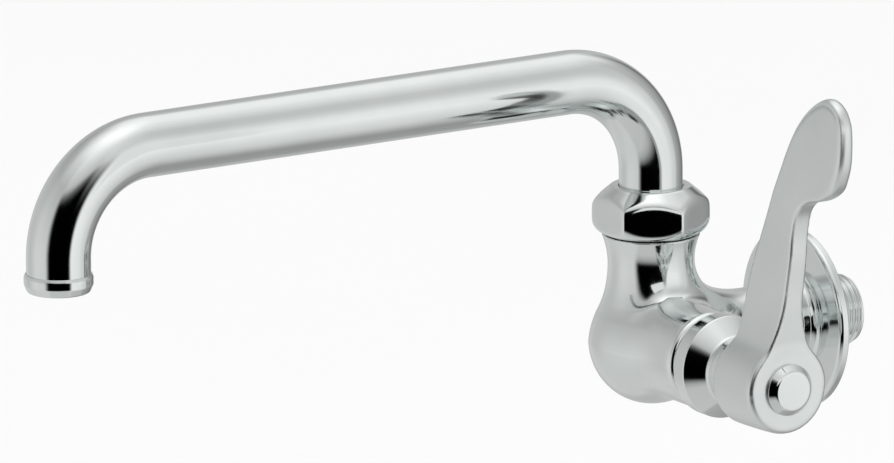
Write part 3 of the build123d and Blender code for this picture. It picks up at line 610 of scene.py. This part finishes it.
LIP_SEAT_R, LIP_BORE_R = TUBE_R + 0.02, TUBE_BORE_R - 0.3
lip = [
    (LIP_Z, LIP_BORE_R, 0.5),
    (LIP_Z, LIP_R - 1.0, 1.2),
    (LIP_Z + 2.4, LIP_R, 1.6),
    (LIP_Z + 4.6, LIP_R, 1.2),
    (LIP_TOP, LIP_SEAT_R, 0.15),
    (LIP_SEAT, LIP_SEAT_R, 0.1),
    (LIP_SEAT, LIP_BORE_R, 0.1),
]
points, *rest = turned(lip, "Z")
points = points - (0, REACH, 0)
piece("outlet_bead", points, *rest, turned_chrome, "spout", "polished_chrome", "outlet_ring")

# ------------------------------------------------------------------------------ bonnet

BONNET_BORE_R = 7.8
BONNET_SKIRT_R = BONNET_THREAD_R - 0.05
RING_FOOT_R, RING_END = 12.9, 43.5
BONNET_NECK_R = 10.3
bonnet = [
    (BONNET_START, BONNET_BORE_R, 0.2),
    (BONNET_START, BONNET_SKIRT_R, 0.2),
    (BOSS_END - 0.2, BONNET_SKIRT_R, 0.1),
    (BOSS_END + 1.0, RING_FOOT_R, 0.8),
    (BOSS_END + 2.4, BONNET_RING_R, 1.2),
    (RING_END - 2.4, BONNET_RING_R, 0.9),
    (RING_END + 3.0, BONNET_NECK_R, 2.0),
    (BONNET_END, BONNET_NECK_R, 0.8),
    (BONNET_END, BONNET_BORE_R, 0.2),
]
piece("bonnet_nut", *turned(bonnet, "X"), turned_chrome, "faucet_body", "polished_chrome", "bonnet")

# ------------------------------------------------------------------------------ lever

HUB_START = 55.4
SLEEVE_R, SLEEVE_START = 7.4, span("lever_handle", "X")[0]
SCREW_HOLE_R, SCREW_SEAT = 5.6, 66.5
BLADE_HALF_ROOT, BLADE_HALF_TIP, BLADE_FLANK_Z, BLADE_TOP = 3.4, 2.3, 30.0, 92.8
BLADE_ROOT_R = HUB_R - 1.6
PADDLE_Z, PADDLE_EASE = 60.0, 8.0
BLADE_EDGE, PADDLE_EDGE, HUB_REAR_EDGE, HUB_FACE_EDGE, ROOT_BLEND = 1.8, 3.6, 1.2, 3.0, 2.0
SCREW_HOLE_EDGE = 0.5
HUB_CROWN = 0.6                  # how much the hub narrows towards its face
FLANK_LEAN = 0.85                # slope of the flank's distance where the blade is hollow
LEVER_STEP, LEVER_BLUR = 0.72, 0.5
# The blade seen along +Y, as (x, z): up its back, round the paddle and down its front
blade_outline = [
    (55.9, 0), (55.9, 12), (56.3, 25), (59.2, 35), (63.3, 44.5), (67.4, 54), (71.0, 62.5),
    (74.8, 71), (80.2, 80), (86.2, 86.6), (93.0, 91.2), (98.2, 92.4), (103.0, 90.2),
    (105.6, 86.0), (106.1, 81.5), (105.8, 76.0), (104.6, 71), (101.4, 65.2), (95.0, 61.4),
    (87.6, 59.2), (83.2, 55.4), (80.9, 48.5), (79.8, 40), (77.6, 28), (75.8, 18), (74.0, 8),
    (73.6, 0),
]
blade_side = through(blade_outline, 5)
flank_round = (BLADE_HALF_ROOT**2 + BLADE_FLANK_Z**2 - BLADE_ROOT_R**2) / (
    2 * (BLADE_ROOT_R - BLADE_HALF_ROOT)
)
flank_angle = math.atan2(BLADE_FLANK_Z, BLADE_HALF_ROOT + flank_round)


def blade_half(z):
    """Half of the blade's thickness: the hub's circle, a hollow flank, then a slow taper."""
    low = BLADE_ROOT_R * math.sin(flank_angle)
    circle = np.sqrt(np.maximum(BLADE_ROOT_R**2 - np.clip(z, 0, low) ** 2, 0))
    hollow = BLADE_HALF_ROOT + flank_round - np.sqrt(
        flank_round**2 - np.clip(BLADE_FLANK_Z - z, 0, BLADE_FLANK_Z - low) ** 2
    )
    taper = (BLADE_HALF_ROOT - BLADE_HALF_TIP) / (BLADE_TOP - BLADE_FLANK_Z)
    straight = BLADE_HALF_ROOT - taper * (z - BLADE_FLANK_Z)
    return np.where(z < low, circle, np.where(z < BLADE_FLANK_Z, hollow, straight))


def lever_field(points):
    """Distance to the lever: a turned hub and a blade that flows out of it."""
    x, y, z = points.T
    r = np.hypot(y, z)
    hub_r = HUB_R - HUB_CROWN * np.clip((x - HUB_START) / (HUB_FACE - HUB_START), 0, 1) ** 2
    hub = smooth_max(r - hub_r, HUB_START - x, HUB_REAR_EDGE)
    hub = smooth_max(hub, x - HUB_FACE, HUB_FACE_EDGE)
    side = outline_distance(x, z, blade_side)
    lean = np.where(z < BLADE_FLANK_Z, FLANK_LEAN, 1.0)
    share = np.clip((z - PADDLE_Z) / PADDLE_EASE, 0, 1)
    edge = BLADE_EDGE + (PADDLE_EDGE - BLADE_EDGE) * share
    blade = smooth_max(side, (np.abs(y) - blade_half(z)) * lean, edge)
    sleeve = np.maximum(SLEEVE_START - x, x - HUB_START - OVERLAP)
    sleeve = np.maximum(r - SLEEVE_R, sleeve)
    lever = np.minimum(smooth_min(hub, blade, ROOT_BLEND), sleeve)
    bore = np.minimum(SCREW_HOLE_R - r, x - SCREW_SEAT)
    return smooth_max(lever, bore, SCREW_HOLE_EDGE)


lever_box = (SLEEVE_START - 1, -16, -16), (108, 16, 94)
lever_skin = skin(lever_field, *lever_box, LEVER_STEP, LEVER_BLUR)
piece("blade_lever", *lever_skin, satin_chrome, "handle", "polished_chrome", "lever_handle")

CAP_FOOT, CAP_HOLLOW, CAP_INNER_R, CAP_PLUG_R = HUB_FACE - 3.4, HUB_FACE + 0.8, 4.75, 5.5
cap = [
    (CAP_HOLLOW, 0.0, 0.0),
    (CAP_HOLLOW, CAP_INNER_R, 0.2),
    (CAP_FOOT, CAP_INNER_R, 0.2),
    (CAP_FOOT, CAP_PLUG_R, 0.2),
    (HUB_FACE, CAP_PLUG_R, 0.2),
    (HUB_FACE, CAP_R, 0.3),
    (HUB_FACE + 0.9, CAP_R, 0.5),
    (HUB_FACE + CAP_RISE, CAP_R - 1.85, 1.5),
    (HUB_FACE + CAP_RISE, 0.0, 0.0),
]
cap_form = turned(cap, "X", filled=True)
piece("plain_cap", *cap_form, turned_chrome, "handle", "polished_chrome", "index_cap")

# ------------------------------------------------------------------------------ inner pieces

# For each material slot of the CAD: two colours, metallic and least roughness
CAD_FINISHES = {
    "raw_brass": (shade(0.72, 0.56, 0.27), shade(0.60, 0.44, 0.19), 1.0, 0.22),
    "stainless_steel": (shade(0.62, 0.61, 0.60), shade(0.52, 0.52, 0.52), 1.0, 0.24),
    "sealing_rubber": (shade(0.022, 0.022, 0.023), shade(0.04, 0.04, 0.04), 0.0, 0.55),
    "bearing_plastic": (shade(0.80, 0.79, 0.74), shade(0.74, 0.72, 0.66), 0.0, 0.38),
    "white_ceramic": (shade(0.88, 0.88, 0.86), shade(0.82, 0.82, 0.80), 0.0, 0.16),
}
INNER_CLOUDS, INNER_GRAIN = 400.0, 2200.0    # cycles a metre
INNER_SPREAD, INNER_RELIEF, INNER_DEPTH = 0.12, 0.3, 0.00004


def plain_finish(name, first, second, metallic, roughness):
    """Clouded colour and uneven gloss for a piece inside the valve."""
    finish = Finish(name, Metallic=metallic)
    cloud = finish.noise(INNER_CLOUDS, detail=3.0)
    finish.set(
        Base_Color=finish.blend(cloud, first, second),
        Roughness=roughness + INNER_SPREAD * cloud,
    )
    finish.relief(finish.noise(INNER_GRAIN), INNER_RELIEF, INNER_DEPTH)
    return finish.material


for slot_name, values in CAD_FINISHES.items():
    finish = plain_finish(slot_name, *values)
    for part in frame["record"]["subparts"]:
        if part["material_slot"] == slot_name:
            node = frame["nodes"][part["node"]]
            for place in node.material_slots:
                place.material = finish

# ------------------------------------------------------------------------------ studio

# From here lengths are in metres, apart from the view's.

# The photograph's view. The middle of its frame lies FRAME_RIGHT and FRAME_UP of the valve's
# centre and the camera VIEW_DISTANCE away, all in millimetres. VIEW_SCALE is in pixels of the
# photograph a millimetre.
VIEW_AZIMUTH, VIEW_ELEVATION = math.radians(57.64), math.radians(13.57)
VIEW_ROLL = math.radians(-0.23)
FRAME_RIGHT, FRAME_UP, VIEW_DISTANCE = -60.62, 32.26, 5906.0
VIEW_SCALE, PHOTO_WIDTH, SENSOR = 3.3578, 894, 36.0
view_right = Vector((math.cos(VIEW_AZIMUTH), math.sin(VIEW_AZIMUTH), 0))
view_back = Vector(
    (
        math.sin(VIEW_AZIMUTH) * math.cos(VIEW_ELEVATION),
        -math.cos(VIEW_AZIMUTH) * math.cos(VIEW_ELEVATION),
        math.sin(VIEW_ELEVATION),
    )
)
view_up = view_back.cross(view_right)
view_target = (Vector(CENTRE) + view_right * FRAME_RIGHT + view_up * FRAME_UP) * MM

# Brightness of the light tent that the metal reflects: for each azimuth in degrees, pairs of
# elevation and level, to which the ceiling's are added. The camera stands at azimuth -32, in
# the tent's dark opening.
CEILING = ((78, 1.25), (90, 1.40))
TENT = {
    -239: ((-90, 0.50), (-52, 0.40), (-36, 0.24), (-26, 0.17), (18, 0.17), (28, 0.36), (37, 0.58),
        (46, 1.02), (60, 1.10)),
    -225: ((-90, 0.50), (-52, 0.50), (-30, 0.55), (12, 0.58), (28, 0.60), (37, 0.68), (46, 1.05),
        (60, 1.10)),
    -205: ((-90, 0.55), (-40, 0.55), (-13, 0.55), (10, 0.50), (25, 0.48), (38, 0.56), (50, 0.95)),
    -178: ((-90, 0.66), (-34, 0.70), (-13, 0.70), (0, 0.62), (13, 0.58), (25, 0.48), (36, 0.42),
        (50, 0.60), (62, 0.90)),
    -148: ((-90, 0.66), (-34, 0.70), (-19, 0.63), (-5, 0.62), (13, 0.60), (25, 0.55), (36, 0.47),
        (50, 0.52), (62, 0.85)),
    -112: ((-90, 0.70), (-34, 0.74), (-13, 0.80), (0, 0.76), (20, 0.66), (40, 0.54), (60, 0.80)),
    -82: ((-90, 0.70), (-34, 0.74), (-13, 0.76), (0, 0.72), (20, 0.62), (40, 0.52), (60, 0.80)),
    -66: ((-90, 0.65), (-40, 0.62), (-31, 0.45), (-22, 0.00), (26, 0.00), (31, 0.16), (37, 0.58),
        (60, 0.92)),
    -16: ((-90, 0.65), (-40, 0.62), (-31, 0.45), (-22, 0.00), (23, 0.00), (30, 0.14), (37, 0.60),
        (60, 0.92)),
    0: ((-90, 0.65), (-40, 0.62), (-31, 0.45), (-22, 0.00), (7, 0.00), (14, 0.10), (22, 0.36),
        (34, 0.75), (60, 0.90)),
    11: ((-90, 0.60), (-45, 0.70), (-25, 0.98), (0, 1.02), (20, 0.95), (37, 0.75), (57, 0.80)),
    35: ((-90, 0.50), (-60, 0.48), (-45, 0.68), (-37, 0.78), (-25, 0.86), (-12, 0.96), (-5, 1.04),
        (13, 0.97), (25, 0.80), (37, 0.68), (48, 0.67), (57, 0.76), (70, 1.00)),
    62: ((-90, 0.50), (-58, 0.40), (-49, 0.54), (-37, 0.70), (-25, 0.76), (-12, 0.78), (13, 0.78),
        (25, 0.70), (37, 0.67), (48, 0.70), (57, 0.82), (70, 1.00)),
    82: ((-90, 0.50), (-58, 0.36), (-49, 0.38), (-25, 0.40), (-13, 0.42), (13, 0.48), (27, 0.55),
        (40, 0.62), (48, 0.74), (57, 0.88), (70, 1.05)),
    110: ((-90, 0.50), (-55, 0.38), (-30, 0.28), (0, 0.28), (20, 0.40), (33, 0.55), (44, 0.95),
        (57, 1.02)),
}
TENT_RADIUS, TENT_Y, TENT_STEP = 3.0, -0.05, 2


def tent_level(azimuth, elevation):
    """Brightness of the tent in one direction, read between its marks."""
    marks = sorted(TENT) + [min(TENT) + 360]
    azimuth = (azimuth - marks[0]) % 360 + marks[0]
    right = next(i for i in range(1, len(marks)) if azimuth <= marks[i])
    low, high = marks[right - 1], marks[right]
    share = (azimuth - low) / (high - low)
    share = share * share * (3 - 2 * share)
    rows = [TENT[mark if mark in TENT else mark - 360] + CEILING for mark in (low, high)]
    before, after = [np.interp(elevation, *zip(*row)) for row in rows]
    return before * (1 - share) + after * share


def glowing(name, light):
    """A finish that only gives light."""
    return Finish(
        name,
        Base_Color=shade(0, 0, 0),
        Roughness=1.0,
        Specular_IOR_Level=0.0,
        Emission_Color=light,
        Emission_Strength=1.0,
    )


def reflected_only(name, mesh):
    """An object of the studio that shows in the metal and nowhere else."""
    made = bpy.data.objects.new(name, mesh)
    bpy.context.scene.collection.objects.link(made)
    made.visible_camera = False
    made.visible_diffuse = False
    made.visible_shadow = False


def tent():
    """A ball round the object, seen by its metal and not by the camera."""
    azimuths = np.arange(-180, 180, TENT_STEP)
    elevations = np.arange(-90, 90 + 1, TENT_STEP)
    points, levels = [], []
    for elevation in elevations:
        for azimuth in azimuths:
            flat = TENT_RADIUS * math.cos(math.radians(elevation))
            points.append(
                (
                    flat * math.cos(math.radians(azimuth)),
                    flat * math.sin(math.radians(azimuth)) + TENT_Y,
                    TENT_RADIUS * math.sin(math.radians(elevation)),
                )
            )
            levels.append(tent_level(azimuth, elevation))
    mesh = bpy.data.meshes.new("light_tent")
    mesh.from_pydata(points, [], lattice(len(elevations), len(azimuths), False).tolist())
    shades = mesh.attributes.new("level", "FLOAT", "POINT")
    shades.data.foreach_set("value", levels)
    cloth = glowing("tent_cloth", shade(1, 1, 1))
    cloth.set(Emission_Color=cloth.add("ShaderNodeAttribute", {"attribute_name": "level"}))
    mesh.materials.append(cloth.material)
    reflected_only("light_tent", mesh)


def rectangle(name, centre, across, up, finish):
    """A flat mesh, from its centre and half sides in metres."""
    corners = [centre + across * a + up * b for a, b in ((-1, -1), (1, -1), (1, 1), (-1, 1))]
    mesh = bpy.data.meshes.new(name)
    mesh.from_pydata(corners, [], [(0, 1, 2, 3)])
    mesh.materials.append(finish.material)
    return mesh


tent()

# A pale card that the neck mirrors, outside the spout's swing
CARD_OUT, CARD_RIGHT, CARD_Z = 0.265, 0.04, 0.108
CARD_HALF_WIDTH, CARD_HALF_HEIGHT = 0.10, 0.055
toward = Vector((view_back.x, view_back.y, 0)).normalized()
card_centre = toward * CARD_OUT + view_right * CARD_RIGHT + Vector((0, 0, CARD_Z))
card_finish = glowing("neck_card", shade(0.9, 0.9, 0.9))
card_sides = view_right * CARD_HALF_WIDTH, Vector((0, 0, CARD_HALF_HEIGHT))
reflected_only("neck_card", rectangle("neck_card", card_centre, *card_sides, card_finish))

FLOOR_Z, FLOOR_HALF = -0.25, 8
FLOOR_CLOUDS = 3.0               # cycles a metre
FLOOR_PALE, FLOOR_GREYER = shade(0.945, 0.945, 0.945), shade(0.93, 0.93, 0.93)
pale = Finish("pale_floor", Roughness=0.9, Specular_IOR_Level=0.1)
pale.set(Base_Color=pale.blend(pale.noise(FLOOR_CLOUDS), FLOOR_PALE, FLOOR_GREYER))
floor_sides = Vector((FLOOR_HALF, 0, 0)), Vector((0, FLOOR_HALF, 0))
floor_mesh = rectangle("floor", Vector((0, 0, FLOOR_Z)), *floor_sides, pale)
floor = bpy.data.objects.new("floor", floor_mesh)
bpy.context.scene.collection.objects.link(floor)
floor.visible_glossy = False

world = bpy.data.worlds.new("studio")
bpy.context.scene.world = world
world.use_nodes = True
background = world.node_tree.nodes["Background"]
background.inputs["Color"].default_value = shade(1, 1, 1)
background.inputs["Strength"].default_value = 1.0


def softbox(name, place, size, watts):
    """A square lamp that faces the object and doesn't show in the metal."""
    light = bpy.data.lights.new(name, "AREA")
    light.shape = "SQUARE"
    light.size = size
    light.energy = watts
    made = bpy.data.objects.new(name, light)
    bpy.context.scene.collection.objects.link(made)
    made.location = place
    made.rotation_euler = (view_target - Vector(place)).to_track_quat("-Z", "Y").to_euler()
    made.visible_glossy = False


softbox("top_softbox", (-0.3, -0.4, 1.5), 1.2, 1.6)
softbox("side_softbox", (0.9, 0.9, 0.8), 0.8, 0.5)

# ------------------------------------------------------------------------------ camera

camera_data = bpy.data.cameras.new("camera")
camera_data.sensor_width = SENSOR
camera_data.lens = VIEW_SCALE * VIEW_DISTANCE * SENSOR / PHOTO_WIDTH
camera = bpy.data.objects.new("camera", camera_data)
bpy.context.scene.collection.objects.link(camera)
camera.location = view_target + view_back * VIEW_DISTANCE * MM
upright = Matrix((view_right, view_up, view_back)).transposed()
camera.rotation_euler = (upright @ Matrix.Rotation(VIEW_ROLL, 3, "Z")).to_euler()
bpy.context.scene.camera = camera
bpy.context.scene.view_settings.view_transform = "Standard"
